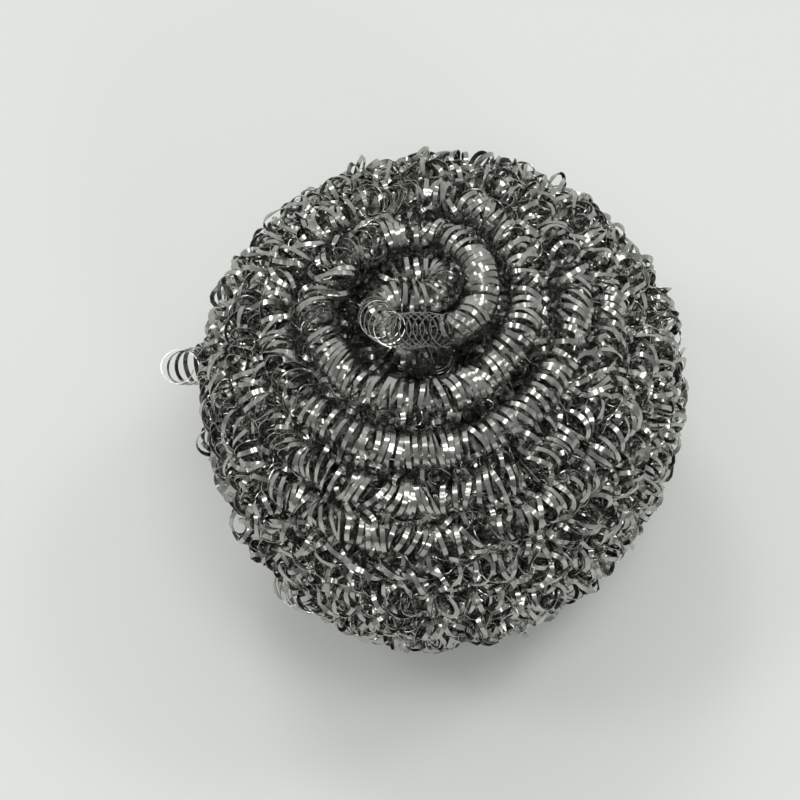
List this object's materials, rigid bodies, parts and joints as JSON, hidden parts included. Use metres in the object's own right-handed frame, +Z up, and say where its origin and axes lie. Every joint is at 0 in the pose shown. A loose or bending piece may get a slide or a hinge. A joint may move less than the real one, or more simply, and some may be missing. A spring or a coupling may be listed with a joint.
{
  "type": "stainless steel scrubber",
  "caption": "Ball-shaped pot scourer: a long springy coil of flat stainless steel ribbon wound into a ball, with a rosette on top.",
  "frame": {"origin": "under the middle of the part's box, on the surface that it rests on", "axes": "+Z up, with the rosette on top; +X to the right and +Y to the back, with the free tail pointing to -X"},
  "size_m": [0.0895, 0.0876, 0.0751],
  "materials": {
    "stainless_steel": "bright rolled stainless steel ribbon"
  },
  "bodies": {
    "root": {"scrubber_coil": "stainless_steel"}
  },
  "joints": []
}
